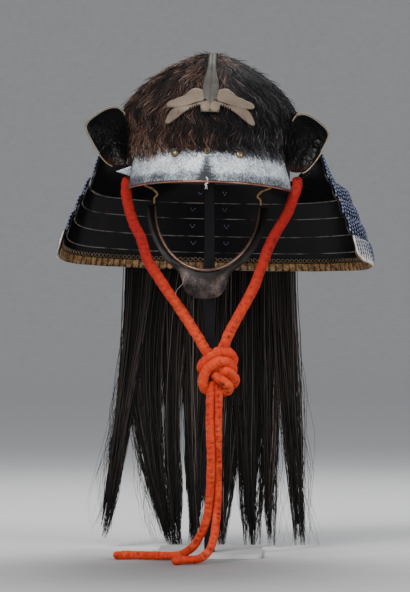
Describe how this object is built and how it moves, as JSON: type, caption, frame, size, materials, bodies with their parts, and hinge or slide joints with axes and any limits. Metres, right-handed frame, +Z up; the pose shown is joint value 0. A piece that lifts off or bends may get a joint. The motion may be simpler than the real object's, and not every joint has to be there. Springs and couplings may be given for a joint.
{
  "type": "kabuto samurai helmet on a post stand",
  "caption": "Fur-covered samurai helmet with silver visor, insect crest, flared laced neck guard, chin guard, hair plume and red padded chin cord, on a plain post stand.",
  "frame": {"origin": "on the floor under the stand's foot, below the middle of the visor and the neck guard from side to side", "axes": "+Z up, -Y the way the helmet faces, +X the right of someone who looks at its front"},
  "size_m": [0.4263, 0.3985, 0.67],
  "materials": {
    "iron": "dark russet iron, matt",
    "fur": "brown and black hide with the hair on",
    "silver": "silvered plate, worn and speckled",
    "copper": "copper-coloured rolled rim",
    "brass": "tarnished pale brass",
    "lacquer": "black lacquer over iron plates, laced in blue and white silk",
    "leather": "black lacquered leather, wrinkled",
    "gilt": "worn gilt",
    "white_binding": "white corner binding",
    "russet": "russet lacquered iron",
    "red_cloth": "orange-red padded cloth tube",
    "ochre_cord": "ochre cord",
    "hair": "black and brown long hair",
    "black_paint": "black painted steel",
    "grey_paint": "pale grey painted steel"
  },
  "bodies": {
    "root": {"bowl_wall": "iron", "bowl_crown": "iron", "bowl_cap": "iron", "temple_tab": "silver", "brow_band": "iron", "fur_cover": "fur", "visor": "silver", "visor_rim": "copper", "visor_stud_left": "brass", "visor_stud_right": "brass", "visor_rivet_left": "brass", "visor_rivet_right": "brass", "visor_eyelet": "brass", "dragonfly_crest": "brass", "neck_lame_1": "lacquer", "neck_lame_2": "lacquer", "neck_lame_3": "lacquer", "neck_lame_4": "lacquer", "neck_lame_5": "lacquer", "gilt_hem": "gilt", "ear_turn_back_left": "leather", "ear_turn_back_right": "leather", "ear_rim_left": "gilt", "ear_rim_right": "gilt", "corner_binding_left": "white_binding", "corner_binding_right": "white_binding", "cheek_tie_left": "ochre_cord", "cheek_tie_right": "ochre_cord", "chin_guard": "russet", "chin_guard_rim": "silver", "chin_cord_hidden": "red_cloth", "chin_cord_left": "red_cloth", "chin_cord_right": "red_cloth", "chin_cord_knot": "red_cloth", "chin_cord_tail_left": "red_cloth", "chin_cord_tail_right": "red_cloth", "hair_plume": "hair", "stand_post": "black_paint", "stand_foot": "grey_paint"}
  },
  "joints": []
}
